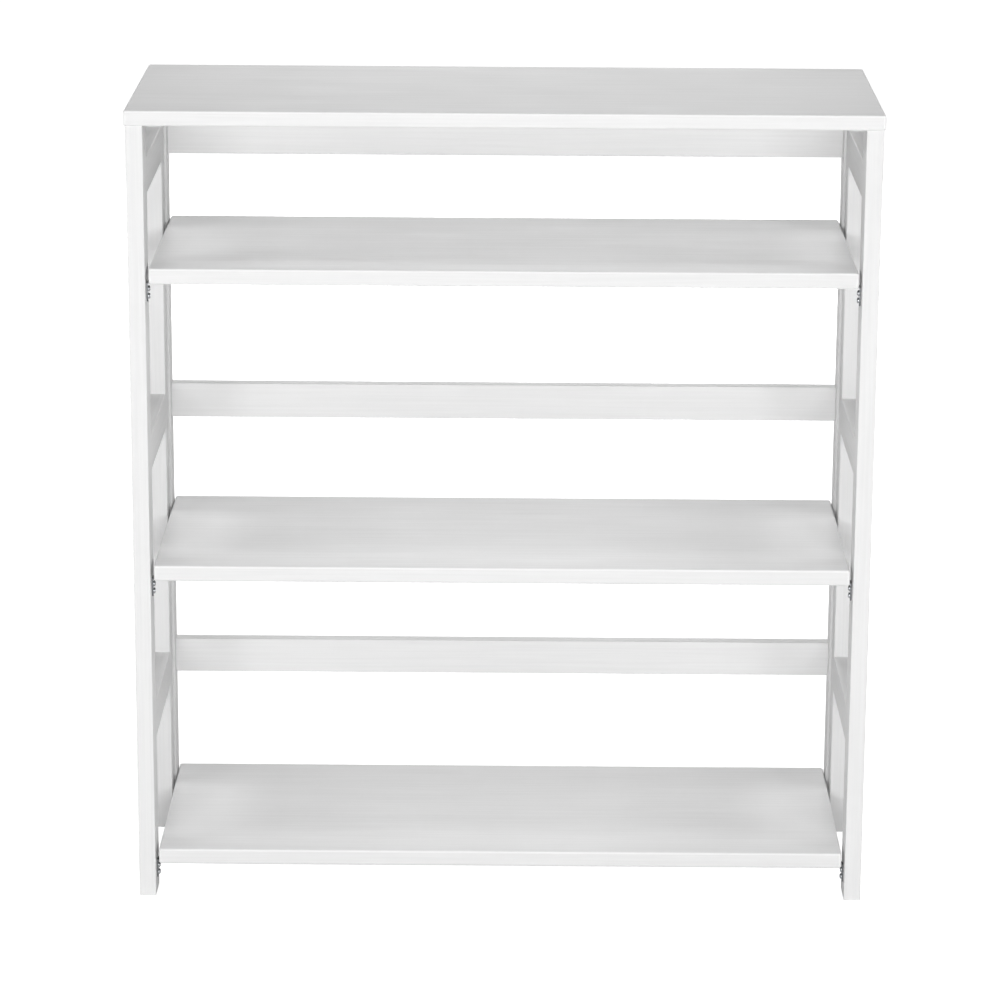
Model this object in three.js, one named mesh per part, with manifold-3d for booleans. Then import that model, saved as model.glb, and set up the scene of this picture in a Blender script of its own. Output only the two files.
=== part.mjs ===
// Folding bookcase: two ladder side frames, a hinged back frame, three flip-up shelves and a flip-up top.
// Millimetres, +Z up, the front towards -Y. The origin lies on the floor, under the middle of the top board.

import * as THREE from 'three';
import { mergeVertices } from 'three/addons/utils/BufferGeometryUtils.js';
import Module from 'manifold-3d';

const wasm = await Module();
wasm.setup();

// Overall size
const topBoardWidth = 787;
const topBoardDepth = 298;
const overallHeight = 864;

// Top board and shelves
const topBoardThickness = 16;
const topBoardFrontOverhang = 4;
const topBoardRearOverhang = 10.8;
const topBoardSideOverhang = 1.5;
const topBoardCornerRadius = 3;
const shelfThickness = 17;
const shelfRearOverhang = 0.8;
const shelfEndGap = 1;
const shelfCornerRadius = 7;
const boardEdgeRadius = 2.5;

// Levels of the shelf tops: the lower one from the floor, the upper one from the top board's underside,
// and the middle one as a share of the way between them
const lowerShelfHeight = 54;
const upperBayHeight = 151;
const middleShelfShare = 0.498;

// Levels of the middle lines of rungs and rails: the lowest from the floor, the highest from the post tops
const lowerBarHeight = 190;
const upperBarDrop = 59;

// Side frames
const postThickness = 18;
const frontPostDepth = 40;
const rearPostDepth = 30;
const rungHeight = 39;
const rungThickness = 18;

// Back frame
const stileThickness = 20;
const stileDepth = 35;
const stileInset = 2.5;
const railHeight = 39;
const railThickness = 16;

// Joinery and eased edges of the solid wood
const barEdgeRadius = 2;
const postEndBevel = 1.2;
const tenonDepth = 12;
const tenonThickness = 6;
const tenonShoulder = 6;
const fitClearance = 0.3;

// Steel pivot pins of the shelves
const pivotPinRadius = 3;
const pivotPinInStile = 12;
const pivotPinInShelf = 14;
const pivotPinChamfer = 0.6;

// Steel rests under the front corners of the shelves
const restThickness = 1.5;
const restWidth = 12;
const restHeight = 22;
const restFlangeLength = 13;
const restBendRadius = 1.5;
const restScrewSpacing = 8;
const restScrewDrop = 8;
const restScrewHeadRadius = 3.2;
const restScrewHeadHeight = 1.1;

// Butt hinges between side frames and back frame
const sideHingeHeight = 34;
const sideHingeShelfClearance = 4;
const sideHingeLeafWidth = 20;
const sideHingeLeafThickness = 0.9;
const sideHingeGap = 2.2;
const sideHingeBarrelRadius = 2.6;
const sideHingePinRadius = 1.2;
const sideHingeKnuckles = 5;

// Butt hinges between back frame and top board
const topHingeLength = 18;
const topHingeLeafWidth = 26;
const topHingeLeafThickness = 1;
const topHingeBarrelRadius = 2.4;
const topHingePinRadius = 1.1;
const topHingeKnuckles = 3;
const topHingeBarrelClearance = 0.4;

// Shared hinge details
const knuckleGap = 0.3;
const pinHeadHeight = 0.8;
const pinHeadOverhang = 0.8;
const leafCornerRadius = 2;
const leafScrewHoleRadius = 1.8;
const leafScrewHoles = 2;

// Fineness of curves and an overrun that lets cutters pass clean through
const cornerSteps = 3;
const boardCornerSteps = 4;
const roundSteps = 16;
const cutOverrun = 1;

// Places from left to right
const postOuter = topBoardWidth / 2 - topBoardSideOverhang;
const postInner = postOuter - postThickness;
const postMiddle = postOuter - postThickness / 2;
const stileInner = postInner - stileInset;
const stileMiddle = stileInner + stileThickness / 2;
const shelfHalfLength = stileInner - shelfEndGap;

// Places from front to rear
const frontPlane = -topBoardDepth / 2 + topBoardFrontOverhang;
const frontPostMiddle = frontPlane + frontPostDepth / 2;
const stileRear = topBoardDepth / 2 - topBoardRearOverhang;
const stileFront = stileRear - stileDepth;
const sideFrameRear = stileFront - sideHingeGap;
const rearPostFront = sideFrameRear - rearPostDepth;
const rearPostMiddle = sideFrameRear - rearPostDepth / 2;
const railMiddle = stileRear - railThickness / 2;
const recessDepth = stileDepth - railThickness;
const pivotDepth = stileFront + recessDepth / 2;
const shelfDepth = stileRear + shelfRearOverhang - frontPlane;
const shelfMiddle = frontPlane + shelfDepth / 2;

// Places from floor to top
const postHeight = overallHeight - topBoardThickness;
const stileHeight = postHeight - topHingeLeafThickness - fitClearance;
const upperShelfHeight = postHeight - upperBayHeight;
const middleShelfHeight = lowerShelfHeight + middleShelfShare * (upperShelfHeight - lowerShelfHeight);
const upperBarHeight = postHeight - upperBarDrop;
const middleBarHeight = (lowerBarHeight + upperBarHeight) / 2;

// A side hinge sits close under a shelf, where no shelf sweeps past it as it flips
const sideHingeDrop = shelfThickness + sideHingeShelfClearance + sideHingeHeight / 2;

const barHeights = { upper: upperBarHeight, middle: middleBarHeight, lower: lowerBarHeight };
const shelfHeights = { upper: upperShelfHeight, middle: middleShelfHeight, lower: lowerShelfHeight };
const sideHingeHeights = {
  upper: upperShelfHeight - sideHingeDrop,
  lower: middleShelfHeight - sideHingeDrop,
};
const sides = { left: -1, right: 1 };

// Finishes
const whitePaint = new THREE.MeshStandardMaterial({ color: 0xf0f0ee, roughness: 0.5, metalness: 0 });
const zincSteel = new THREE.MeshStandardMaterial({ color: 0x9c9c9c, roughness: 0.35, metalness: 1 });

// Solid operations
function toSolid(geometry) {
  const bare = geometry.clone();
  bare.deleteAttribute('normal');
  bare.deleteAttribute('uv');
  const merged = mergeVertices(bare);
  return new wasm.Manifold(new wasm.Mesh({
    numProp: 3,
    vertProperties: merged.attributes.position.array,
    triVerts: new Uint32Array(merged.index.array),
  }));
}

function toGeometry(solid) {
  const mesh = solid.getMesh();
  const geometry = new THREE.BufferGeometry();
  geometry.setAttribute('position', new THREE.BufferAttribute(mesh.vertProperties, mesh.numProp));
  geometry.setIndex(new THREE.BufferAttribute(mesh.triVerts, 1));
  geometry.computeVertexNormals();
  return geometry;
}

function join(first, ...others) {
  const solid = others.reduce((sum, other) => sum.add(toSolid(other)), toSolid(first));
  return toGeometry(solid);
}

function cut(first, ...cutters) {
  const solid = cutters.reduce((rest, cutter) => rest.subtract(toSolid(cutter)), toSolid(first));
  return toGeometry(solid);
}

function intersect(first, second) {
  return toGeometry(toSolid(first).intersect(toSolid(second)));
}

// Basic forms
function block(sizeX, sizeY, sizeZ, x = 0, y = 0, z = 0) {
  return new THREE.BoxGeometry(sizeX, sizeY, sizeZ).translate(x, y, z);
}

function roundedRectangle(width, height, radius) {
  const shape = new THREE.Shape();
  const w = width / 2;
  const h = height / 2;
  shape.moveTo(-w + radius, -h);
  shape.lineTo(w - radius, -h);
  shape.absarc(w - radius, -h + radius, radius, -Math.PI / 2, 0, false);
  shape.lineTo(w, h - radius);
  shape.absarc(w - radius, h - radius, radius, 0, Math.PI / 2, false);
  shape.lineTo(-w + radius, h);
  shape.absarc(-w + radius, h - radius, radius, Math.PI / 2, Math.PI, false);
  shape.lineTo(-w, -h + radius);
  shape.absarc(-w + radius, -h + radius, radius, Math.PI, 1.5 * Math.PI, false);
  return shape;
}

// A prism along Z, centred on the origin, with its two ends eased by the bevel
function easedPrism(shape, length, bevel, curveSegments, bevelSegments) {
  const prism = new THREE.ExtrudeGeometry(shape, {
    depth: length - 2 * bevel,
    curveSegments,
    bevelEnabled: bevel > 0,
    bevelThickness: bevel,
    bevelSize: bevel,
    bevelOffset: -bevel,
    bevelSegments,
  });
  return prism.translate(0, 0, bevel - length / 2);
}

function rod(radius, length) {
  return new THREE.CylinderGeometry(radius, radius, length, roundSteps).rotateX(Math.PI / 2);
}

function rodAlongX(radius, length, x = 0, y = 0, z = 0) {
  return rod(radius, length).rotateY(Math.PI / 2).translate(x, y, z);
}

// Boards: the top board and the shelves have rounded corners and eased edges
function board(length, depth, thickness, cornerRadius) {
  const outline = roundedRectangle(length, depth, cornerRadius);
  return easedPrism(outline, thickness, boardEdgeRadius, boardCornerSteps, 2);
}

function topBoard() {
  return board(topBoardWidth, topBoardDepth, topBoardThickness, topBoardCornerRadius);
}

// A shelf turns on two pins near its rear edge, so both of its ends are bored for them
function shelf() {
  const boreLength = pivotPinInShelf + fitClearance + cutOverrun;
  const boreMiddle = shelfHalfLength + cutOverrun - boreLength / 2;
  const bores = Object.values(sides).map((side) => rodAlongX(
    pivotPinRadius + fitClearance, boreLength, side * boreMiddle, pivotDepth - shelfMiddle, 0));
  return cut(board(2 * shelfHalfLength, shelfDepth, shelfThickness, shelfCornerRadius), ...bores);
}

// Side frames: posts with mortises for the rungs
function mortise(sizeX, sizeY, sizeZ, x, y, z) {
  const both = 2 * fitClearance;
  return block(sizeX + both, sizeY + both, sizeZ + both, x, y, z);
}

function post(depth, rungDirection) {
  const section = roundedRectangle(postThickness, depth, barEdgeRadius);
  const blank = easedPrism(section, postHeight, postEndBevel, cornerSteps, 1);
  const mouth = rungDirection * depth / 2;
  const mortises = Object.values(barHeights).map((height) => mortise(
    tenonThickness, 2 * tenonDepth, rungHeight - 2 * tenonShoulder, 0, mouth, height - postHeight / 2));
  return cut(blank, ...mortises);
}

// A rung runs from post to post and ends in a stub tenon at each post
const rungLength = rearPostFront - frontPlane - frontPostDepth;

function rung() {
  const section = roundedRectangle(rungThickness, rungHeight, barEdgeRadius);
  const body = easedPrism(section, rungLength, 0, cornerSteps, 1).rotateX(Math.PI / 2);
  const tenons = block(tenonThickness, rungLength + 2 * tenonDepth, rungHeight - 2 * tenonShoulder);
  return join(body, tenons);
}

// Back frame: stiles with mortises for the rails and bores for the pivot pins
function stile(side) {
  const section = roundedRectangle(stileThickness, stileDepth, barEdgeRadius);
  const blank = easedPrism(section, stileHeight, postEndBevel, cornerSteps, 1);
  const mouth = -side * stileThickness / 2;
  const mortises = Object.values(barHeights).map((height) => mortise(
    2 * tenonDepth, tenonThickness, railHeight - 2 * tenonShoulder,
    mouth, railMiddle - stileFront - stileDepth / 2, height - stileHeight / 2));
  const bores = Object.values(shelfHeights).map((height) => rodAlongX(
    pivotPinRadius + fitClearance, 2 * (pivotPinInStile + fitClearance),
    mouth, pivotDepth - stileFront - stileDepth / 2, height - shelfThickness / 2 - stileHeight / 2));
  return cut(blank, ...mortises, ...bores);
}

// A rail runs from stile to stile at the rear, which leaves a recess in front for a flipped-up shelf
const railLength = 2 * stileInner;

function rail() {
  const section = roundedRectangle(railHeight, railThickness, barEdgeRadius);
  const body = easedPrism(section, railLength, 0, cornerSteps, 1).rotateY(Math.PI / 2);
  const tenons = block(railLength + 2 * tenonDepth, tenonThickness, railHeight - 2 * tenonShoulder);
  return join(body, tenons);
}

// A pivot pin with chamfered ends lies half in the stile and half in the shelf
function pivotPin() {
  const length = pivotPinInStile + shelfEndGap + pivotPinInShelf;
  const profile = [
    new THREE.Vector2(0, -length / 2),
    new THREE.Vector2(pivotPinRadius - pivotPinChamfer, -length / 2),
    new THREE.Vector2(pivotPinRadius, -length / 2 + pivotPinChamfer),
    new THREE.Vector2(pivotPinRadius, length / 2 - pivotPinChamfer),
    new THREE.Vector2(pivotPinRadius - pivotPinChamfer, length / 2),
    new THREE.Vector2(0, length / 2),
  ];
  return new THREE.LatheGeometry(profile, roundSteps).rotateZ(Math.PI / 2);
}

// A bent steel rest: its tongue is screwed to the front post and its flange carries the shelf.
// Its own origin is on the post face at the height of the shelf's underside, with the shelf towards +X.
function shelfRest() {
  const outerBend = restThickness + restBendRadius;
  const profile = new THREE.Shape();
  profile.moveTo(0, -restHeight);
  profile.lineTo(0, -outerBend);
  profile.absarc(outerBend, -outerBend, outerBend, Math.PI, Math.PI / 2, true);
  profile.lineTo(restFlangeLength, 0);
  profile.lineTo(restFlangeLength, -restThickness);
  profile.lineTo(outerBend, -restThickness);
  profile.absarc(outerBend, -outerBend, restBendRadius, Math.PI / 2, Math.PI, false);
  profile.lineTo(restThickness, -restHeight);
  const angle = easedPrism(profile, restWidth, 0, cornerSteps, 1).rotateX(Math.PI / 2);
  const heads = [restScrewDrop, restScrewDrop + restScrewSpacing].map(
    (drop) => screwHead().translate(restThickness, 0, -drop));
  return join(intersect(angle, tongue()), ...heads);
}

// The outline of the rest seen from inside the bookcase, with its round lower tip
function tongue() {
  const tip = restWidth / 2;
  const outline = new THREE.Shape();
  outline.moveTo(-tip, cutOverrun);
  outline.lineTo(-tip, tip - restHeight);
  outline.absarc(0, tip - restHeight, tip, Math.PI, 2 * Math.PI, false);
  outline.lineTo(tip, cutOverrun);
  const length = restFlangeLength + cutOverrun;
  const prism = easedPrism(outline, length, 0, roundSteps / 2, 1);
  return prism.translate(0, 0, length / 2 - cutOverrun / 2).rotateX(Math.PI / 2).rotateZ(Math.PI / 2);
}

// A domed screw head that stands out along +X
function screwHead() {
  const profile = [
    new THREE.Vector2(0, -restThickness / 2),
    new THREE.Vector2(restScrewHeadRadius, -restThickness / 2),
  ];
  for (let step = 0; step <= cornerSteps; step += 1) {
    const angle = (Math.PI / 2) * (step / cornerSteps);
    const radius = step === cornerSteps ? 0 : restScrewHeadRadius * Math.cos(angle);
    profile.push(new THREE.Vector2(radius, restScrewHeadHeight * Math.sin(angle)));
  }
  return new THREE.LatheGeometry(profile, roundSteps / 2).rotateZ(-Math.PI / 2);
}

// Butt hinges. A leaf has its barrel along Z and its plate towards +X, the plate's near face being
// the offset away from the barrel's axis towards +Y. The knuckles of two leaves fit between each other.
const sideHinge = {
  length: sideHingeHeight,
  leafWidth: sideHingeLeafWidth,
  thickness: sideHingeLeafThickness,
  barrelRadius: sideHingeBarrelRadius,
  pinRadius: sideHingePinRadius,
  knuckles: sideHingeKnuckles,
};
const topHinge = {
  length: topHingeLength,
  leafWidth: topHingeLeafWidth,
  thickness: topHingeLeafThickness,
  barrelRadius: topHingeBarrelRadius,
  pinRadius: topHingePinRadius,
  knuckles: topHingeKnuckles,
};
const topHingeSetback = topHingeBarrelRadius + topHingeBarrelClearance;
const topHingeOffset = topHingeSetback - topHingeLeafThickness;

// The plate of a leaf, with two round outer corners and its screw holes
function leafPlate(hinge, offset) {
  const half = hinge.length / 2;
  const far = hinge.leafWidth;
  const outline = new THREE.Shape();
  outline.moveTo(0, -half);
  outline.lineTo(far - leafCornerRadius, -half);
  outline.absarc(far - leafCornerRadius, -half + leafCornerRadius, leafCornerRadius, -Math.PI / 2, 0, false);
  outline.lineTo(far, half - leafCornerRadius);
  outline.absarc(far - leafCornerRadius, half - leafCornerRadius, leafCornerRadius, 0, Math.PI / 2, false);
  outline.lineTo(0, half);
  for (let hole = 0; hole < leafScrewHoles; hole += 1) {
    const along = hinge.length * ((hole + 0.5) / leafScrewHoles - 0.5);
    const circle = new THREE.Path();
    circle.absarc((hinge.barrelRadius + far) / 2, along, leafScrewHoleRadius, 0, 2 * Math.PI, true);
    outline.holes.push(circle);
  }
  const plate = easedPrism(outline, hinge.thickness, 0, cornerSteps, 1).rotateX(Math.PI / 2);
  return plate.translate(0, offset + hinge.thickness / 2, 0);
}

// A leaf owns every second knuckle, and its plate is notched around the knuckles of the other leaf
function hingeLeaf(hinge, offset, ownsEndKnuckles) {
  const pitch = (hinge.length + knuckleGap) / hinge.knuckles;
  const knuckleLength = pitch - knuckleGap;
  const barrels = [];
  const notches = [];
  for (let index = 0; index < hinge.knuckles; index += 1) {
    const z = (index + 0.5) * pitch - (hinge.length + knuckleGap) / 2;
    if ((index % 2 === 0) === ownsEndKnuckles) {
      barrels.push(rod(hinge.barrelRadius, knuckleLength).translate(0, 0, z));
    } else {
      const reach = 2 * (hinge.barrelRadius + knuckleGap);
      notches.push(block(reach, 2 * reach, knuckleLength + 2 * knuckleGap, 0, 0, z));
    }
  }
  const bore = rod(hinge.pinRadius + fitClearance, hinge.length + 2 * cutOverrun);
  return cut(join(cut(leafPlate(hinge, offset), ...notches), ...barrels), bore);
}

// A hinge pin with a flat head at each end of the barrel
function hingePin(hinge) {
  const end = hinge.length / 2;
  const head = end + pinHeadHeight;
  const headRadius = hinge.pinRadius + pinHeadOverhang;
  const profile = [
    new THREE.Vector2(0, -head),
    new THREE.Vector2(headRadius, -head),
    new THREE.Vector2(headRadius, -end),
    new THREE.Vector2(hinge.pinRadius, -end),
    new THREE.Vector2(hinge.pinRadius, end),
    new THREE.Vector2(headRadius, end),
    new THREE.Vector2(headRadius, head),
    new THREE.Vector2(0, head),
  ];
  return new THREE.LatheGeometry(profile, roundSteps).rotateX(Math.PI / 2);
}

// Assembly: every piece is placed in the frame of the whole bookcase
const bookcase = new THREE.Group();

function place(name, geometry, material, x, y, z, turnZ = 0, turnY = 0) {
  const piece = new THREE.Mesh(geometry, material);
  piece.name = name;
  piece.position.set(x, y, z);
  piece.rotation.set(0, turnY, turnZ);
  return piece;
}

// Back frame with its rails
function backFrame() {
  const frame = new THREE.Group();
  for (const [sideName, side] of Object.entries(sides)) {
    const name = `back_stile_${sideName}`;
    frame.add(place(name, stile(side), whitePaint,
      side * stileMiddle, stileFront + stileDepth / 2, stileHeight / 2));
  }
  for (const [level, height] of Object.entries(barHeights)) {
    frame.add(place(`back_rail_${level}`, rail(), whitePaint, 0, railMiddle, height));
  }
  return frame;
}

// A side frame with its two posts and three rungs
function sideFrame(sideName, side) {
  const frame = new THREE.Group();
  const x = side * postMiddle;
  frame.add(place(`front_post_${sideName}`, post(frontPostDepth, 1), whitePaint,
    x, frontPostMiddle, postHeight / 2));
  frame.add(place(`rear_post_${sideName}`, post(rearPostDepth, -1), whitePaint,
    x, rearPostMiddle, postHeight / 2));
  const rungMiddle = (frontPlane + frontPostDepth + rearPostFront) / 2;
  for (const [level, height] of Object.entries(barHeights)) {
    frame.add(place(`side_rung_${level}_${sideName}`, rung(), whitePaint, x, rungMiddle, height));
  }
  return frame;
}

// The hinges that let a side frame swing in flat against the back frame
function sideHinges(sideName, side) {
  const hinges = new THREE.Group();
  const x = side * (stileInner - sideHingeBarrelRadius - fitClearance);
  const turnY = side > 0 ? 0 : Math.PI;
  const frameLeafOffset = sideHingeGap - sideHingeLeafThickness;
  for (const [level, height] of Object.entries(sideHingeHeights)) {
    const name = `side_hinge_${level}_${sideName}`;
    hinges.add(place(`${name}_frame_leaf`, hingeLeaf(sideHinge, frameLeafOffset, true), zincSteel,
      x, sideFrameRear, height, 0, turnY));
    hinges.add(place(`${name}_side_leaf`, hingeLeaf(sideHinge, 0, false), zincSteel,
      x, sideFrameRear, height, 0, turnY));
    hinges.add(place(`${name}_pin`, hingePin(sideHinge), zincSteel, x, sideFrameRear, height));
  }
  return hinges;
}

// The top board with the hinges on the back frame's rear corners
function topBoardAndHinges() {
  const group = new THREE.Group();
  group.add(place('top_board', topBoard(), whitePaint, 0, 0, overallHeight - topBoardThickness / 2));
  const y = stileRear + topHingeSetback;
  const z = postHeight - topHingeSetback;
  for (const [sideName, side] of Object.entries(sides)) {
    const name = `top_hinge_${sideName}`;
    const x = side * stileMiddle;
    const frameLeaf = hingeLeaf(topHinge, topHingeOffset, true).rotateY(Math.PI / 2).rotateZ(Math.PI);
    const boardLeaf = hingeLeaf(topHinge, topHingeOffset, false)
      .rotateY(Math.PI / 2).rotateX(Math.PI / 2).rotateZ(Math.PI);
    group.add(place(`${name}_frame_leaf`, frameLeaf, zincSteel, x, y, z));
    group.add(place(`${name}_board_leaf`, boardLeaf, zincSteel, x, y, z));
    group.add(place(`${name}_pin`, hingePin(topHinge).rotateY(Math.PI / 2), zincSteel, x, y, z));
  }
  return group;
}

// A shelf with its two pivot pins and the two rests under its front corners
function shelfSet(level, height) {
  const group = new THREE.Group();
  const pivotHeight = height - shelfThickness / 2;
  group.add(place(`shelf_${level}`, shelf(), whitePaint, 0, shelfMiddle, pivotHeight));
  const pinMiddle = stileInner + (pivotPinInStile - shelfEndGap - pivotPinInShelf) / 2;
  for (const [sideName, side] of Object.entries(sides)) {
    const turnZ = side > 0 ? Math.PI : 0;
    group.add(place(`shelf_pin_${level}_${sideName}`, pivotPin(), zincSteel,
      side * pinMiddle, pivotDepth, pivotHeight));
    group.add(place(`shelf_rest_${level}_${sideName}`, shelfRest(), zincSteel,
      side * postInner, frontPostMiddle, height - shelfThickness, turnZ));
  }
  return group;
}

bookcase.add(backFrame());
for (const [sideName, side] of Object.entries(sides)) {
  bookcase.add(sideFrame(sideName, side));
  bookcase.add(sideHinges(sideName, side));
}
for (const [level, height] of Object.entries(shelfHeights)) {
  bookcase.add(shelfSet(level, height));
}
bookcase.add(topBoardAndHinges());

export default bookcase;
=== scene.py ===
"""A white folding bookcase, dressed piece by piece. In metres, with +Z up and the front towards -Y."""

import math

import bmesh
import bpy
from mathutils import Matrix, Vector


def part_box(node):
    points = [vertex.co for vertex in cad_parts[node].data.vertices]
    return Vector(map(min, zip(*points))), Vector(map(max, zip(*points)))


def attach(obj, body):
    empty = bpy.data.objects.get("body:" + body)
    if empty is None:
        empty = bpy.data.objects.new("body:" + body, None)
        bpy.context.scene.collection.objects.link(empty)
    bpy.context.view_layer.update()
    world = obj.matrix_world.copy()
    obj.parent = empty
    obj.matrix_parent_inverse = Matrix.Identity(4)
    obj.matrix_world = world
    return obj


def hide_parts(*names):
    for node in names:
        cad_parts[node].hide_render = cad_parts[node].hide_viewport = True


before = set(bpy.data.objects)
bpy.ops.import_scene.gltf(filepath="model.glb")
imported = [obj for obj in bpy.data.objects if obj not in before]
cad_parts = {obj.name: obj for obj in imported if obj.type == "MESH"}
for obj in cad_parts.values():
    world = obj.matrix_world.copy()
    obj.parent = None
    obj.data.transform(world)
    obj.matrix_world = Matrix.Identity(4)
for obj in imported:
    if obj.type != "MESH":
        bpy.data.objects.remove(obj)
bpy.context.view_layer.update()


# Camera. It stands well back at eye height and looks down a little through a long lens, so that the
# shelves show their tops and the side frames their inner faces, as in the photograph.
camera = bpy.data.objects.new("camera", bpy.data.cameras.new("camera"))
camera.data.lens = 143.57
camera.data.sensor_width = 36
camera_place = Vector((0.0118, -4.21208, 1.57659))
camera_pitch = math.radians(15.486)
camera_yaw = math.radians(0.2)
camera_roll = math.radians(0.34)
camera.matrix_world = (
    Matrix.Translation(camera_place)
    @ Matrix.Rotation(camera_yaw, 4, "Z")
    @ Matrix.Rotation(math.pi / 2 - camera_pitch, 4, "X")
    @ Matrix.Rotation(camera_roll, 4, "Z")
)
bpy.context.scene.collection.objects.link(camera)
bpy.context.scene.camera = camera
bpy.context.scene.view_settings.view_transform = "Standard"


# Studio. The bookcase stands on a wide sheet of white paper. A broad softbox lights its front, two at
# the sides and a strip overhead light it from above, and one behind it skims over the boards.
# The room beyond the paper is white to the camera and in reflections, and gives hardly any light.
def linear(hex_colour):
    """The linear colour of an sRGB hex value, with full alpha."""
    parts = [int(hex_colour[i : i + 2], 16) / 255 for i in (1, 3, 5)]
    return tuple(c / 12.92 if c <= 0.04045 else ((c + 0.055) / 1.055) ** 2.4 for c in parts) + (1,)


def add_node(tree, kind, inputs=(), **properties):
    """Adds a node, sets its properties, and sets or links its inputs by name or number."""
    node = tree.nodes.new(kind)
    for name, value in properties.items():
        setattr(node, name, value)
    for name, value in dict(inputs).items():
        if isinstance(value, bpy.types.NodeSocket):
            tree.links.new(value, node.inputs[name])
        else:
            node.inputs[name].default_value = value
    return node


def bare_material(name):
    """A material without a surface, with its node tree and the object's own coordinates."""
    material = bpy.data.materials.new(name)
    material.use_nodes = True
    tree = material.node_tree
    tree.nodes.clear()
    place = add_node(tree, "ShaderNodeTexCoord").outputs["Object"]
    return material, tree, place


def seen_directly(tree):
    """A factor that is 1 on camera rays, reflected and transmitted ones, and 0 on scattered ones."""
    path = add_node(tree, "ShaderNodeLightPath").outputs
    reflected, transmitted = path["Is Glossy Ray"], path["Is Transmission Ray"]
    bounced = add_node(tree, "ShaderNodeMath", {0: reflected, 1: transmitted}, operation="MAXIMUM")
    seen = add_node(
        tree, "ShaderNodeMath", {0: path["Is Camera Ray"], 1: bounced.outputs[0]}, operation="MAXIMUM"
    )
    return seen.outputs[0]


room_light = 0.03
room = bpy.data.worlds.new("white_room")
room.use_nodes = True
room.node_tree.nodes.clear()
white = linear("#FFFFFF")
white_view = add_node(room.node_tree, "ShaderNodeBackground", {"Color": white, "Strength": 1.0})
even_light = add_node(room.node_tree, "ShaderNodeBackground", {"Color": white, "Strength": room_light})
room_mix = add_node(
    room.node_tree,
    "ShaderNodeMixShader",
    {0: seen_directly(room.node_tree), 1: even_light.outputs[0], 2: white_view.outputs[0]},
)
add_node(room.node_tree, "ShaderNodeOutputWorld", {"Surface": room_mix.outputs[0]})
bpy.context.scene.world = room

# The paper looks white to the camera. It glows less close to the bookcase, where it still has to show
# the soft shadow at the feet, and fully where it runs out of the lamps' reach.
near_glow, far_glow = 0.72, 1.0
near_paper, far_paper = 0.8, 3.0
paper, paper_tree, paper_place = bare_material("background_paper")
from_middle = add_node(paper_tree, "ShaderNodeVectorMath", {0: paper_place}, operation="LENGTH")
paper_glow = add_node(
    paper_tree,
    "ShaderNodeMapRange",
    {
        "Value": from_middle.outputs["Value"],
        "From Min": near_paper,
        "From Max": far_paper,
        "To Min": near_glow,
        "To Max": far_glow,
    },
)
matt = add_node(paper_tree, "ShaderNodeBsdfDiffuse", {"Color": linear("#F2F2F2")})
glow_share = add_node(
    paper_tree,
    "ShaderNodeMath",
    {0: seen_directly(paper_tree), 1: paper_glow.outputs[0]},
    operation="MULTIPLY",
)
glow = add_node(paper_tree, "ShaderNodeEmission", {"Color": white, "Strength": glow_share.outputs[0]})
paper_sum = add_node(paper_tree, "ShaderNodeAddShader", {0: matt.outputs[0], 1: glow.outputs[0]})
add_node(paper_tree, "ShaderNodeOutputMaterial", {"Surface": paper_sum.outputs[0]})

paper_half = 30.0
floor_mesh = bpy.data.meshes.new("floor")
floor_corners = [(x * paper_half, y * paper_half, 0) for x, y in ((-1, -1), (1, -1), (1, 1), (-1, 1))]
floor_mesh.from_pydata(floor_corners, [], [(0, 1, 2, 3)])
floor_mesh.materials.append(paper)
floor = bpy.data.objects.new("floor", floor_mesh)
bpy.context.scene.collection.objects.link(floor)


def softbox(name, place, aim, width, height, watts):
    """A rectangular soft light that faces the aim."""
    light = bpy.data.lights.new(name, "AREA")
    light.shape = "RECTANGLE"
    light.size = width
    light.size_y = height
    light.energy = watts
    lamp = bpy.data.objects.new(name, light)
    lamp.visible_camera = False
    lamp.location = place
    lamp.rotation_euler = (Vector(aim) - Vector(place)).to_track_quat("-Z", "Y").to_euler()
    bpy.context.scene.collection.objects.link(lamp)


bookcase_middle = (0, 0, 0.5)
bookcase_low = (0, 0, 0.4)
softbox("front_softbox", (0.0, -4.2, 1.15), bookcase_middle, width=3.6, height=0.8, watts=135)
softbox("left_softbox", (-3.0, -0.4, 2.4), bookcase_low, width=3.0, height=1.6, watts=37)
softbox("right_softbox", (3.0, -0.4, 2.4), bookcase_low, width=3.0, height=1.6, watts=37)
softbox("rear_softbox", (0.0, 3.8, 1.3), bookcase_low, width=1.6, height=1.0, watts=88)
softbox("overhead_strip", (0.0, -1.0, 4.2), bookcase_low, width=3.6, height=0.6, watts=17)


# Side frames. Each is a ladder of two planed pine posts and three rungs, 18 mm thick, glued with stub
# tenons, with rounded long edges and lightly eased ends. The wood is sprayed white and rubbed down,
# so its grain only shows faintly through the lacquer.
mm = 0.001
lengthways, front_to_rear, upright = 0, 1, 2
bar_edge = 1.2 * mm
bar_end_ease = 1 * mm
shoulder_ease = 0.4 * mm
tenon_edge = 0.8 * mm
tenon_length = 12 * mm
tenon_thickness = 6 * mm
tenon_shoulder = 6 * mm
round_steps = 6


def rounded_rectangle(width, height, radius):
    """A rectangle's outline about the origin with round corners, anticlockwise from its +X +Y one."""
    points = []
    for quarter, (side_x, side_y) in enumerate(((1, 1), (-1, 1), (-1, -1), (1, -1))):
        for step in range(round_steps + 1):
            angle = math.pi / 2 * (quarter + step / round_steps)
            x = side_x * (width / 2 - radius) + radius * math.cos(angle)
            y = side_y * (height / 2 - radius) + radius * math.sin(angle)
            points.append((x, y))
    return points


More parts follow.
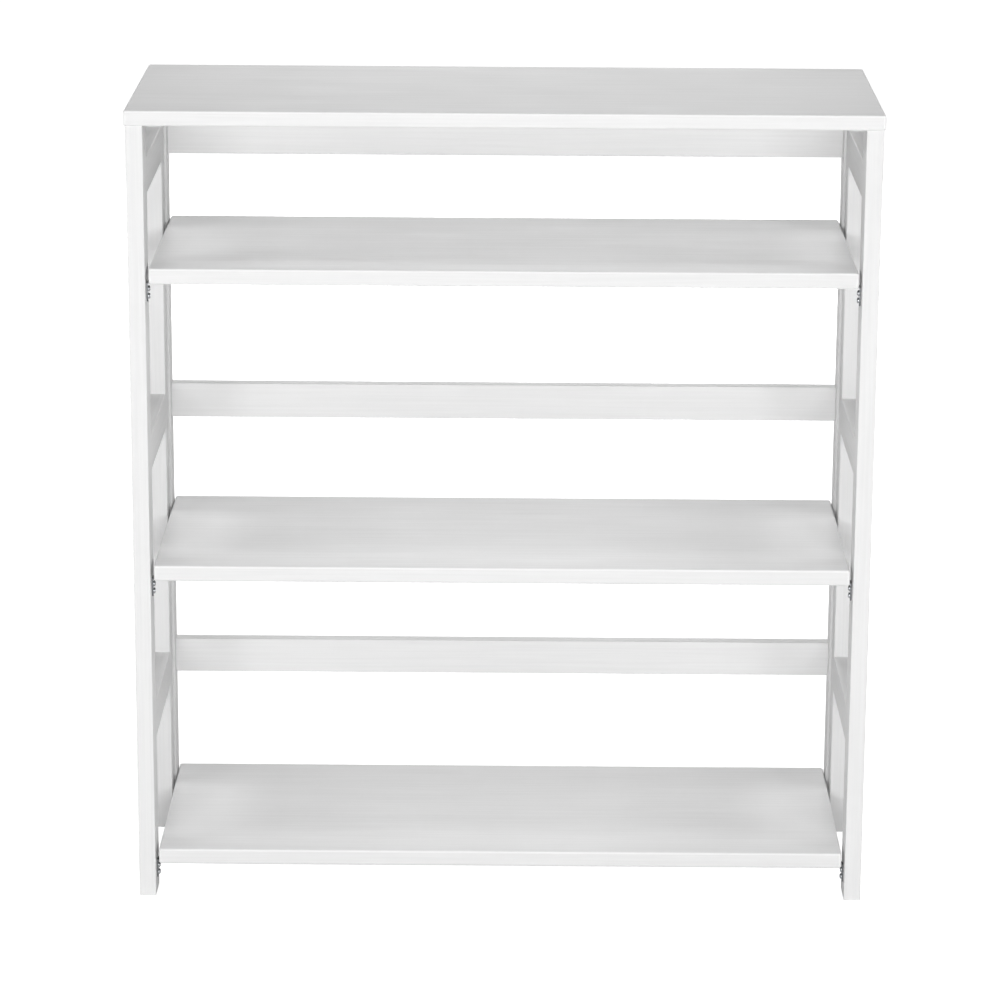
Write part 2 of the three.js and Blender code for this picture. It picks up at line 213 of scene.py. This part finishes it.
def skin(bm, rings):
    """Joins rings of points into a closed skin with a flat face at each end."""
    made = [[bm.verts.new(point) for point in ring] for ring in rings]
    for first, second in zip(made, made[1:]):
        for i, vertex in enumerate(first):
            after = (i + 1) % len(first)
            bm.faces.new((vertex, first[after], second[after], second[i]))
    bm.faces.new(list(reversed(made[0])))
    bm.faces.new(made[-1])
    return made


def eased_block(bm, low, high, axis, corner, ease, painted_highlight=0.0):
    """A block from low to high with corners rounded about one axis and eased edges at both ends.

    The last argument, from 0 to 1, is how strongly a painted highlight whitens the paint on its corners
    and upper edges.
    """
    painted_highlight_edge = bm.verts.layers.float.get("painted_highlight_edge") or bm.verts.layers.float.new("painted_highlight_edge")
    across, up = (axis + 1) % 3, (axis + 2) % 3
    size, middle = high - low, (low + high) / 2
    turns = [math.pi / 2 * step / round_steps for step in range(round_steps + 1)]
    # On a quarter round the painted highlight is strongest in the middle and ends where the flat faces
    # start.
    strengths = [painted_highlight * math.sin(2 * turn) for turn in turns]
    along_strengths = [0.0] * len(turns) + strengths[::-1]
    eased = [(ease * (1 - math.cos(turn)), ease * (1 - math.sin(turn))) for turn in turns]
    starts = [(low[axis] + along, inset) for along, inset in eased]
    ends = [(high[axis] - along, inset) for along, inset in reversed(eased)]
    rings = []
    for along, inset in starts + ends:
        width, height = size[across] - 2 * inset, size[up] - 2 * inset
        ring = []
        for a, b in rounded_rectangle(width, height, corner - inset):
            point = Vector((0, 0, 0))
            point[axis] = along
            point[across] = middle[across] + a
            point[up] = middle[up] + b
            ring.append(point)
        rings.append(ring)
    made = skin(bm, rings)
    # The lower edges and the rim of the upper face get no painted highlight.
    highlight_rings = list(zip(made, along_strengths))[round_steps:-1]
    for ring, along_strength in highlight_rings:
        for vertex, corner_strength in zip(ring, strengths * 4):
            vertex[painted_highlight_edge] = max(along_strength, corner_strength)


def make_piece(name, bm, *finishes, crease=60):
    """Turns the skin into a smooth-shaded piece with flat large faces, creased above an angle."""
    bmesh.ops.recalc_face_normals(bm, faces=bm.faces)
    mesh = bpy.data.meshes.new(name)
    bm.to_mesh(mesh)
    bm.free()
    for finish in finishes:
        mesh.materials.append(finish)
    mesh.polygons.foreach_set("use_smooth", [True] * len(mesh.polygons))
    mesh.set_sharp_from_angle(angle=math.radians(crease))
    piece = bpy.data.objects.new(name, mesh)
    bpy.context.scene.collection.objects.link(piece)
    flatten = piece.modifiers.new("flat_faces", "WEIGHTED_NORMAL")
    flatten.keep_sharp = True
    return piece


def fit_piece(piece, body, slot, *nodes):
    """The piece rides on a body and stands for the nodes, which it hides. The slot is not used."""
    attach(piece, body)
    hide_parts(*nodes)


def white_lacquer_on_pine(name, grain_axis):
    """White satin lacquer on planed pine: an even soft sheen over faint streaks along the grain."""
    # Pine rings stand 1.5 to 3 mm apart; they are drawn 3 mm wide so that they show at this distance.
    streak_width, streak_length, streak_depth = 3.0 * mm, 170 * mm, 0.05 * mm
    # The flame of the board bends the streaks by up to this many of their widths.
    flame_width, flame_length, flame_bend = 26 * mm, 420 * mm, 2.4
    # Spraying leaves soft clouds of thicker and thinner paint, and a fine orange peel.
    cloud_size, cloud_share = 60 * mm, 0.35
    peel_size, peel_depth = 1.6 * mm, 0.02 * mm
    relief_strength = 0.5
    dense_grain, sparse_grain = 0.36, 0.64
    rough_sheen, smooth_sheen = 0.70, 0.60
    material, tree, place = bare_material(name)

    def stretch(width, length):
        """The scale of a pattern with a width across the grain and a length along it."""
        scale = [1 / width] * 3
        scale[grain_axis] = 1 / length
        return scale

    flame_place = add_node(
        tree, "ShaderNodeMapping", {"Vector": place, "Scale": stretch(flame_width, flame_length)}
    )
    flame = add_node(
        tree, "ShaderNodeTexNoise", {"Vector": flame_place.outputs[0], "Scale": 1.0, "Detail": 3.0}
    )
    wander = add_node(
        tree,
        "ShaderNodeVectorMath",
        {0: flame.outputs["Color"], 1: (flame_bend, flame_bend, flame_bend)},
        operation="MULTIPLY",
    )
    straight_place = add_node(
        tree, "ShaderNodeMapping", {"Vector": place, "Scale": stretch(streak_width, streak_length)}
    )
    streak_place = add_node(
        tree,
        "ShaderNodeVectorMath",
        {0: straight_place.outputs[0], 1: wander.outputs[0]},
        operation="ADD",
    )
    streaks = add_node(
        tree,
        "ShaderNodeTexNoise",
        {"Vector": streak_place.outputs[0], "Scale": 1.0, "Detail": 4.0, "Roughness": 0.6},
    )
    clouds = add_node(
        tree, "ShaderNodeTexNoise", {"Vector": place, "Scale": 1 / cloud_size, "Detail": 2.0}
    )
    peel = add_node(
        tree, "ShaderNodeTexNoise", {"Vector": place, "Scale": 1 / peel_size, "Detail": 2.0}
    )
    # Where the grain is dense the paint sinks in and looks a shade darker and duller.
    grain_tone = add_node(
        tree,
        "ShaderNodeMapRange",
        {"Value": streaks.outputs[0], "From Min": dense_grain, "From Max": sparse_grain},
    )
    tone = add_node(
        tree,
        "ShaderNodeMix",
        {0: cloud_share, 2: grain_tone.outputs[0], 3: clouds.outputs[0]},
        data_type="FLOAT",
    )
    colour = add_node(
        tree,
        "ShaderNodeMix",
        {0: tone.outputs[0], 6: linear("#E1E1E1"), 7: linear("#E7E7E7")},
        data_type="RGBA",
    )
    # Painted highlight: the rounded corners and upper edges of the boards are mixed towards white, where
    # they would catch the light.
    painted_highlight = add_node(tree, "ShaderNodeAttribute", attribute_name="painted_highlight_edge")
    highlighted_colour = add_node(
        tree,
        "ShaderNodeMix",
        {0: painted_highlight.outputs["Fac"], 6: colour.outputs[2], 7: linear("#F4F4F4")},
        data_type="RGBA",
    )
    sheen = add_node(
        tree,
        "ShaderNodeMapRange",
        {"Value": tone.outputs[0], "To Min": rough_sheen, "To Max": smooth_sheen},
    )
    grain_relief = add_node(
        tree,
        "ShaderNodeBump",
        {"Height": streaks.outputs[0], "Distance": streak_depth, "Strength": relief_strength},
    )
    relief = add_node(
        tree,
        "ShaderNodeBump",
        {
            "Height": peel.outputs[0],
            "Distance": peel_depth,
            "Strength": relief_strength,
            "Normal": grain_relief.outputs[0],
        },
    )
    lacquer = add_node(
        tree,
        "ShaderNodeBsdfPrincipled",
        {
            "Base Color": highlighted_colour.outputs[2],
            "Roughness": sheen.outputs[0],
            "Normal": relief.outputs[0],
            "IOR": 1.5,
            "Specular IOR Level": 0.12,
        },
    )
    add_node(tree, "ShaderNodeOutputMaterial", {"Surface": lacquer.outputs[0]})
    return material


painted_along_x = white_lacquer_on_pine("white_lacquer_on_pine_lengthways", lengthways)
painted_along_y = white_lacquer_on_pine("white_lacquer_on_pine_front_to_rear", front_to_rear)
painted_along_z = white_lacquer_on_pine("white_lacquer_on_pine_upright", upright)


def planed_bar(name, node, axis, finish):
    """A bar as long as its node, with rounded long edges and eased ends."""
    bm = bmesh.new()
    eased_block(bm, *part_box(node), axis, bar_edge, bar_end_ease)
    fit_piece(make_piece(name, bm, finish), "frame", "white_wood", node)


def tenoned_bar(name, node, axis, thin_axis, finish):
    """A bar between two uprights. Its node's box takes in the stub tenons in their mortises."""
    low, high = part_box(node)
    bm = bmesh.new()
    shoulder = Vector((0, 0, 0))
    shoulder[axis] = tenon_length
    eased_block(bm, low + shoulder, high - shoulder, axis, bar_edge, shoulder_ease)
    narrow = Vector((0, 0, tenon_shoulder))
    narrow[thin_axis] = ((high - low)[thin_axis] - tenon_thickness) / 2
    eased_block(bm, low + narrow, high - narrow, axis, tenon_edge, shoulder_ease)
    fit_piece(make_piece(name, bm, finish), "frame", "white_wood", node)


sides = {"left": -1, "right": 1}
levels = ("upper", "middle", "lower")
for side in sides:
    planed_bar(f"{side}_front_post", f"front_post_{side}", upright, painted_along_z)
    planed_bar(f"{side}_rear_post", f"rear_post_{side}", upright, painted_along_z)
    for level in levels:
        rung = f"{side}_{level}_rung"
        tenoned_bar(rung, f"side_rung_{level}_{side}", front_to_rear, lengthways, painted_along_y)


# Back frame. Two pine stiles stand behind the side frames and three rails join them near the rear
# faces, so that the flipped-up shelves find room in front of the rails. Same planed and lacquered wood.
for side in sides:
    planed_bar(f"{side}_stile", f"back_stile_{side}", upright, painted_along_z)
for level in levels:
    tenoned_bar(f"{level}_rail", f"back_rail_{level}", lengthways, front_to_rear, painted_along_x)


# Pivot pins. Each shelf turns on two 6 mm steel pins near its rear edge, which sit half in the shelf
# and half in the stile. They are turned from zinc-plated rod and chamfered at both ends.
pin_chamfer = 0.6 * mm
turned_steps = 32
# Steel edges that turn by more degrees than this stay crisp.
steel_crease = 30


def turned(bm, profile, place):
    """Turns a profile of (radius, height) round the Z axis and sets it in place."""
    rings = []
    for radius, height in profile:
        ring = []
        for step in range(turned_steps):
            angle = 2 * math.pi * step / turned_steps
            ring.append(place @ Vector((radius * math.cos(angle), radius * math.sin(angle), height)))
        rings.append(ring)
    skin(bm, rings)


def zinc_plated_steel(name, dark, light, smoothest=0.30, roughest=0.46):
    """Zinc-plated steel: a soft grey shine with faint crystal patches and fine rolling marks."""
    crystal_size = 2.2 * mm
    mark_width, mark_length, mark_depth = 0.25 * mm, 4 * mm, 0.015 * mm
    mark_share, relief_strength = 0.5, 0.5
    material, tree, place = bare_material(name)
    crystals = add_node(
        tree, "ShaderNodeTexVoronoi", {"Vector": place, "Scale": 1 / crystal_size, "Randomness": 1.0}
    )
    crystal_tone = add_node(tree, "ShaderNodeSeparateColor", {"Color": crystals.outputs["Color"]})
    mark_place = add_node(
        tree,
        "ShaderNodeMapping",
        {"Vector": place, "Scale": (1 / mark_width, 1 / mark_width, 1 / mark_length)},
    )
    marks = add_node(
        tree, "ShaderNodeTexNoise", {"Vector": mark_place.outputs[0], "Scale": 1.0, "Detail": 3.0}
    )
    tone = add_node(
        tree,
        "ShaderNodeMix",
        {0: mark_share, 2: crystal_tone.outputs[0], 3: marks.outputs[0]},
        data_type="FLOAT",
    )
    colour = add_node(
        tree,
        "ShaderNodeMix",
        {0: tone.outputs[0], 6: linear(dark), 7: linear(light)},
        data_type="RGBA",
    )
    dullness = add_node(
        tree, "ShaderNodeMapRange", {"Value": tone.outputs[0], "To Min": smoothest, "To Max": roughest}
    )
    relief = add_node(
        tree,
        "ShaderNodeBump",
        {"Height": marks.outputs[0], "Distance": mark_depth, "Strength": relief_strength},
    )
    plating = add_node(
        tree,
        "ShaderNodeBsdfPrincipled",
        {
            "Base Color": colour.outputs[2],
            "Metallic": 1.0,
            "Roughness": dullness.outputs[0],
            "Normal": relief.outputs[0],
        },
    )
    add_node(tree, "ShaderNodeOutputMaterial", {"Surface": plating.outputs[0]})
    return material


plated = zinc_plated_steel("zinc_plated_steel", "#85878A", "#A9ABAD")
along_x = Matrix.Rotation(math.pi / 2, 4, "Y")
for side in sides:
    for level in levels:
        node = f"shelf_pin_{level}_{side}"
        low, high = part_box(node)
        half, radius = (high.x - low.x) / 2, (high.z - low.z) / 2
        bm = bmesh.new()
        profile = [
            (radius - pin_chamfer, -half),
            (radius, pin_chamfer - half),
            (radius, half - pin_chamfer),
            (radius - pin_chamfer, half),
        ]
        turned(bm, profile, Matrix.Translation((low + high) / 2) @ along_x)
        pin = make_piece(f"{side}_{level}_pivot_pin", bm, plated, crease=steel_crease)
        fit_piece(pin, "frame", "zinc_steel", node)


# Side hinges. Two steel butt hinges join each side frame to its stile, so that the frame can fold in.
# Their pressed leaves lie flat between post and stile, and only the rolled barrels show from inside.
side_leaf_width = 20 * mm
side_leaf_thickness = 0.9 * mm
side_leaf_gap = 2.2 * mm
side_barrel_radius = 2.6 * mm
side_pin_radius = 1.2 * mm
side_knuckles = 5
knuckle_gap = 0.3 * mm
knuckle_ease = 0.15 * mm
leaf_corner = 2 * mm
leaf_holes = 2
leaf_hole_radius = 1.8 * mm
leaf_hole_steps = 24
leaf_screw_radius = 1.9 * mm
leaf_screw_height = 0.12 * mm
sheared_edge = 0.08 * mm
pin_head_height = 0.8 * mm
pin_head_overhang = 0.8 * mm


def arc(centre_x, centre_y, radius, start, end, steps=8):
    """Points on an arc, with angles in quarter turns."""
    angles = [math.pi / 2 * (start + (end - start) * step / steps) for step in range(steps + 1)]
    return [(centre_x + radius * math.cos(a), centre_y + radius * math.sin(a)) for a in angles]


def pressed_plate(bm, outline, holes, thickness, place):
    """A flat plate in the XY plane with holes and softly sheared edges, centred on its thickness."""
    curve = bpy.data.curves.new("plate", "CURVE")
    curve.dimensions = "2D"
    curve.fill_mode = "BOTH"
    curve.extrude = thickness / 2 - sheared_edge
    curve.bevel_depth = sheared_edge
    curve.bevel_resolution = 1
    curve.offset = -sheared_edge
    for loop in [outline, *holes]:
        spline = curve.splines.new("POLY")
        spline.points.add(len(loop) - 1)
        spline.use_cyclic_u = True
        for point, (x, y) in zip(spline.points, loop):
            point.co = (x, y, 0, 1)
    drawn = bpy.data.objects.new("plate", curve)
    mesh = bpy.data.meshes.new_from_object(drawn)
    mesh.transform(place)
    bm.from_mesh(mesh)
    bpy.data.objects.remove(drawn)
    bpy.data.meshes.remove(mesh)
    bpy.data.curves.remove(curve)


def cross_head(bm, place, radius, height):
    """A flat-domed screw head with a cross recess, on the XY plane of its place and facing +Z."""
    spokes = 48
    rings = 14
    slot_half = 0.16 * radius
    slot_reach = 0.62 * radius
    # A flat head is cut deeper than it is high, since its recess goes into the shank.
    slot_depth = 0.55 * max(height, 0.5 * radius)
    made = []
    for ring in range(rings + 1):
        share = 1 - ring / rings
        top = height * math.sqrt(max(0.0, 1 - share**4))
        points = []
        for spoke in range(spokes):
            angle = 2 * math.pi * spoke / spokes
            x, y = radius * share * math.cos(angle), radius * share * math.sin(angle)
            near, far = sorted((abs(x), abs(y)))
            in_slot = near < slot_half and far < slot_reach
            z = top - slot_depth if in_slot else top
            points.append(bm.verts.new(place @ Vector((x, y, z))))
        made.append(points)
    for first, second in zip(made, made[1:]):
        for i in range(spokes):
            after = (i + 1) % spokes
            bm.faces.new((first[i], first[after], second[after], second[i]))
    bmesh.ops.remove_doubles(bm, verts=made[-1], dist=1e-7)


def hinge_leaf(name, node, body, plate, barrel, owns_ends, place):
    """A butt hinge leaf, whose barrel runs along Z and whose plate runs towards +X.

    The plate is given by its length, width, thickness and offset from the axis along Y, the barrel by
    its radius, the radius of its pin and the hinge's number of knuckles. The leaf owns every second
    knuckle, either from the ends or between them.
    """
    length, width, thickness, offset = plate
    barrel_radius, pin_radius, knuckles = barrel
    pitch = (length + knuckle_gap) / knuckles
    half_knuckle = (pitch - knuckle_gap) / 2
    middles = [(index + 0.5) * pitch - (length + knuckle_gap) / 2 for index in range(knuckles)]
    own_middles = middles[::2] if owns_ends else middles[1::2]
    outline = []
    for middle in middles:
        own = middle in own_middles
        x = 0 if own else barrel_radius + knuckle_gap
        reach = half_knuckle if own else half_knuckle + knuckle_gap
        outline.append((x, max(middle - reach, -length / 2)))
        outline.append((x, min(middle + reach, length / 2)))
    outline += arc(width - leaf_corner, length / 2 - leaf_corner, leaf_corner, 1, 0)
    outline += arc(width - leaf_corner, leaf_corner - length / 2, leaf_corner, 0, -1)
    hole_x = (barrel_radius + width) / 2
    hole_heights = [length * ((index + 0.5) / leaf_holes - 0.5) for index in range(leaf_holes)]
    hole = arc(hole_x, 0, leaf_hole_radius, 0, 4, leaf_hole_steps)[:-1]
    holes = [[(x, y + height) for x, y in hole] for height in hole_heights]
    stand_up = Matrix.Rotation(math.pi / 2, 4, "X")
    plate_place = place @ Matrix.Translation((0, offset + thickness / 2, 0)) @ stand_up
    bm = bmesh.new()
    pressed_plate(bm, outline, holes, thickness, plate_place)
    bore = pin_radius + knuckle_gap / 2
    profile = [
        (bore, -half_knuckle),
        (barrel_radius - knuckle_ease, -half_knuckle),
        (barrel_radius, knuckle_ease - half_knuckle),
        (barrel_radius, half_knuckle - knuckle_ease),
        (barrel_radius - knuckle_ease, half_knuckle),
        (bore, half_knuckle),
    ]
    for middle in own_middles:
        rings = []
        for radius, height in profile:
            ring = arc(0, 0, radius, 0, 4, turned_steps)[:-1]
            rings.append([bm.verts.new(place @ Vector((x, y, middle + height))) for x, y in ring])
        for first, second in zip(rings, rings[1:] + rings[:1]):
            for i in range(turned_steps):
                after = (i + 1) % turned_steps
                bm.faces.new((first[i], first[after], second[after], second[i]))
    # The screw heads face away from the wood, which lies beyond a plate that is set off the axis, and
    # on the near side of one that isn't. They are a little wider than their holes, so they fill them.
    face_y, turn = (offset, math.pi / 2) if offset > 0 else (thickness, -math.pi / 2)
    for height in hole_heights:
        seat = Matrix.Translation((hole_x, face_y, height)) @ Matrix.Rotation(turn, 4, "X")
        cross_head(bm, place @ seat, leaf_screw_radius, leaf_screw_height)
    leaf = make_piece(name, bm, plated, crease=steel_crease)
    fit_piece(leaf, body, "zinc_steel", node)


def hinge_pin(name, node, axis, radius):
    """A hinge pin with a domed head at each end of the barrel."""
    low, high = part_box(node)
    shank_half = (high - low)[axis] / 2 - pin_head_height
    head_radius = radius + pin_head_overhang
    # The head's rim is straight for about a third of its height, and the dome rises from there.
    rim_share = 0.35
    dome = []
    for turn in (0, 0.4, 0.8, 1.2, 1.5):
        height = pin_head_height * (rim_share + (1 - rim_share) * math.sin(turn))
        dome.append((head_radius * math.cos(turn), shank_half + height))
    upper = [(radius, shank_half), (head_radius, shank_half), *dome]
    profile = [(r, -height) for r, height in reversed(upper)] + upper
    turn_over = along_x if axis == lengthways else Matrix.Identity(4)
    bm = bmesh.new()
    turned(bm, profile, Matrix.Translation((low + high) / 2) @ turn_over)
    pin = make_piece(name, bm, plated, crease=steel_crease)
    fit_piece(pin, "frame", "zinc_steel", node)


for side, sign in sides.items():
    # The left hinges are turned half round, so that their plates run the other way.
    half_turn = Matrix.Rotation(0 if sign > 0 else math.pi, 4, "Y")
    for level in ("upper", "lower"):
        node = f"side_hinge_{level}_{side}"
        low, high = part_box(f"{node}_pin")
        leaf_low, leaf_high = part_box(f"{node}_side_leaf")
        place = Matrix.Translation((low + high) / 2) @ half_turn
        sizes = (leaf_high.z - leaf_low.z, side_leaf_width, side_leaf_thickness)
        stile_plate = (*sizes, side_leaf_gap - side_leaf_thickness)
        post_plate = (*sizes, 0.0)
        barrel = (side_barrel_radius, side_pin_radius, side_knuckles)
        stem = f"{side}_{level}_hinge"
        hinge_leaf(f"{stem}_stile_leaf", f"{node}_frame_leaf", "frame", stile_plate, barrel, True, place)
        hinge_leaf(f"{stem}_post_leaf", f"{node}_side_leaf", "frame", post_plate, barrel, False, place)
        hinge_pin(f"{stem}_pin", f"{node}_pin", upright, side_pin_radius)


# Shelves. Three boards glued up from pine staves, 17 mm thick, with round corners and eased edges.
# Each lies on the frame's rests in front and turns up on its pivot pins at the rear.
board_corner = 3 * mm
board_ease = 2.5 * mm


def eased_board(name, node, body):
    """A board with round corners in plan and quarter-round edges."""
    bm = bmesh.new()
    # The board's corners and upper edges carry the full painted highlight.
    eased_block(bm, *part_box(node), upright, board_corner, board_ease, painted_highlight=1.0)
    fit_piece(make_piece(name, bm, painted_along_x), body, "white_wood", node)


for level in levels:
    node = f"shelf_{level}"
    eased_board(f"{level}_shelf_board", node, node)


# Rests. Each shelf's front corners lie on small angles bent from 1.5 mm zinc-plated steel. Their round
# tongues are fixed to the posts' inner faces with two pan-head screws one above the other.
rest_thickness = 1.5 * mm
rest_bend = 1.5 * mm
rest_corner = 2 * mm
rest_tip_half = 0.12 * mm
# How far each screw lies below the shelf, and how far its recess happens to be turned, in radians.
rest_screws = ((8 * mm, 0.72), (16 * mm, 1.44))
rest_screw_radius = 3.2 * mm
rest_screw_height = 2.2 * mm
flange_steps, bend_steps, tongue_steps, tip_steps = 6, 8, 3, 12
# The strip has come out of its plating bath darker and duller than the barrel-plated screws.
rest_steel = zinc_plated_steel("dull_zinc_strip", "#626467", "#7C7E80")
screw_steel = zinc_plated_steel(
    "bright_zinc_screw", "#7E8083", "#A0A2A4", smoothest=0.20, roughest=0.30
)


def rest(name, node, sign):
    """An angle whose flange lies under the shelf and whose tongue lies on the post's inner face."""
    low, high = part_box(node)
    reach, drop, half = high.x - low.x, high.z - low.z, (high.y - low.y) / 2
    outer = rest_thickness + rest_bend
    straight = drop - outer - half
    # The outer line runs along the flange, round the bend and down the tongue: place and inward normal.
    below, inward = (0.0, -1.0), (1.0, 0.0)
    line = []
    for step in range(flange_steps + 1):
        line.append(((reach - step * (reach - outer) / flange_steps, 0.0), below))
    for step in range(1, bend_steps + 1):
        angle = math.pi / 2 * step / bend_steps
        normal = (math.sin(angle), -math.cos(angle))
        line.append(((outer - outer * normal[0], -outer - outer * normal[1]), normal))
    for step in range(1, tongue_steps + 1):
        line.append(((0.0, -outer - straight * step / tongue_steps), inward))
    for step in range(1, tip_steps + 1):
        angle = math.pi / 2 * step / tip_steps
        line.append(((0.0, half * (1 - math.sin(angle)) - drop), inward))
    bm = bmesh.new()
    face_x = low.x if sign < 0 else high.x
    middle_y = (low.y + high.y) / 2
    rings = []
    for (x, z), (normal_x, normal_z) in line:
        # The tongue's tip is a half round and the flange's end has round corners.
        width = half
        into_tip = half - drop - z
        if into_tip > 0:
            width = math.sqrt(max(half * half - into_tip * into_tip, rest_tip_half**2))
        from_end = reach - x
        if z == 0 and from_end < rest_corner:
            width = half - rest_corner + math.sqrt(rest_corner**2 - (rest_corner - from_end) ** 2)
        section = ((0, -width), (0, width), (rest_thickness, width), (rest_thickness, -width))
        corners = []
        for depth, across in section:
            inner_x, inner_z = x + depth * normal_x, z + depth * normal_z
            corners.append(Vector((face_x - sign * inner_x, middle_y + across, high.z + inner_z)))
        rings.append(corners)
    skin(bm, rings)
    bmesh.ops.recalc_face_normals(bm, faces=bm.faces)
    bent_faces = set(bm.faces)
    facing = Matrix.Rotation(-sign * math.pi / 2, 4, "Y")
    for screw_drop, recess_turn in rest_screws:
        seat = Matrix.Translation((face_x - sign * rest_thickness, middle_y, high.z - screw_drop))
        place = seat @ facing @ Matrix.Rotation(recess_turn, 4, "Z")
        cross_head(bm, place, rest_screw_radius, rest_screw_height)
    for face in bm.faces:
        face.material_index = 0 if face in bent_faces else 1
    piece = make_piece(name, bm, rest_steel, screw_steel, crease=steel_crease)
    fit_piece(piece, "frame", "zinc_steel", node)


for side, sign in sides.items():
    for level in levels:
        rest(f"{side}_{level}_rest", f"shelf_rest_{level}_{side}", sign)


# Top board. A board of the same make, 16 mm thick, lies on the posts and turns up on two small butt
# hinges, whose leaves are screwed to the rear faces of the stiles and to the board's underside.
top_leaf_width = 26 * mm
top_leaf_thickness = 1.0 * mm
top_barrel_radius = 2.4 * mm
top_pin_radius = 1.1 * mm
top_knuckles = 3
top_setback = 2.8 * mm

eased_board("top_board_board", "top_board", "top_board")
# One plate hangs down behind the stile, and the other runs forward under the board.
half_turn = Matrix.Rotation(math.pi, 4, "Z")
downward = half_turn @ along_x
forward = half_turn @ Matrix.Rotation(math.pi / 2, 4, "X") @ along_x
for side in sides:
    node = f"top_hinge_{side}"
    low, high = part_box(f"{node}_pin")
    leaf_low, leaf_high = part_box(f"{node}_frame_leaf")
    centre = Matrix.Translation((low + high) / 2)
    plate_sizes = (leaf_high.x - leaf_low.x, top_leaf_width, top_leaf_thickness)
    plate = (*plate_sizes, top_setback - top_leaf_thickness)
    barrel = (top_barrel_radius, top_pin_radius, top_knuckles)
    stem = f"{side}_top_hinge"
    down_place, forward_place = centre @ downward, centre @ forward
    hinge_leaf(f"{stem}_stile_leaf", f"{node}_frame_leaf", "frame", plate, barrel, True, down_place)
    board_leaf = f"{stem}_board_leaf"
    hinge_leaf(board_leaf, f"{node}_board_leaf", "top_board", plate, barrel, False, forward_place)
    hinge_pin(f"{stem}_pin", f"{node}_pin", lengthways, top_pin_radius)
